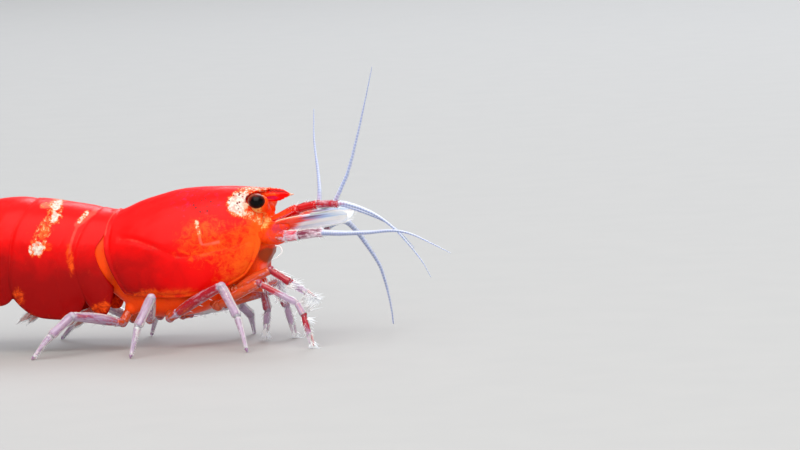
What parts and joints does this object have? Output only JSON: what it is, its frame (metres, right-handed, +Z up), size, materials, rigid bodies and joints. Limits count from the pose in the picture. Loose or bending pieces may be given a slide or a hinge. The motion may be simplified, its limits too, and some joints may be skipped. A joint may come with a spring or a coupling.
{
  "type": "aquarium shrimp",
  "caption": "Still, life-size red bee shrimp with a cream-marked shell, standing on its walking legs with its tail fan laid on the floor and its feelers raised.",
  "frame": {"origin": "on the floor in the midplane, below the rear edge of the carapace, which is the middle of the whole length from the tail fan to the tips of the feelers", "axes": "+X to the head, +Y to the shrimp's left, +Z up from the floor that the legs and the tail fan stand on"},
  "size_m": [0.0313, 0.009, 0.0118],
  "materials": {
    "shell": "glossy saturated red shell with cream marks, darker low on the sides",
    "flesh": "soft orange-red skin between the shell plates, slightly wet",
    "limb": "translucent pinkish-white limbs with red streaks",
    "feeler": "bluish-white, finely ringed and slightly translucent",
    "eye": "wet black eye with a reddish-brown upper rim"
  },
  "bodies": {
    "root": {"carapace": "shell", "rostrum": "shell", "head": "flesh", "abdomen_1": "shell", "abdomen_2": "shell", "abdomen_3": "shell", "abdomen_4": "shell", "abdomen_5": "shell", "abdomen_6": "shell", "telson": "shell", "uropod_inner_R": "shell", "uropod_outer_R": "shell", "uropod_inner_L": "shell", "uropod_outer_L": "shell", "eye_R": "eye", "eye_stalk_R": "flesh", "eye_L": "eye", "eye_stalk_L": "flesh", "antennule_base_R": "limb", "antennule_outer_R": "feeler", "antennule_inner_R": "feeler", "antenna_base_R": "limb", "antenna_R": "feeler", "antennule_base_L": "limb", "antennule_outer_L": "feeler", "antennule_inner_L": "feeler", "antenna_base_L": "limb", "antenna_L": "feeler", "antenna_scale_R": "feeler", "antenna_scale_L": "feeler", "thorax": "flesh", "mouthparts": "flesh", "leg1_R": "limb", "leg2_R": "limb", "leg3_R": "limb", "leg4_R": "limb", "leg5_R": "limb", "leg1_L": "limb", "leg2_L": "limb", "leg3_L": "limb", "leg4_L": "limb", "leg5_L": "limb", "maxilliped_R": "limb", "maxilliped_L": "limb", "swimmeret_1_R": "flesh", "swimmeret_1_L": "flesh", "swimmeret_2_R": "flesh", "swimmeret_2_L": "flesh", "swimmeret_3_R": "flesh", "swimmeret_3_L": "flesh", "swimmeret_4_R": "flesh", "swimmeret_4_L": "flesh", "swimmeret_5_R": "flesh", "swimmeret_5_L": "flesh"}
  },
  "joints": []
}
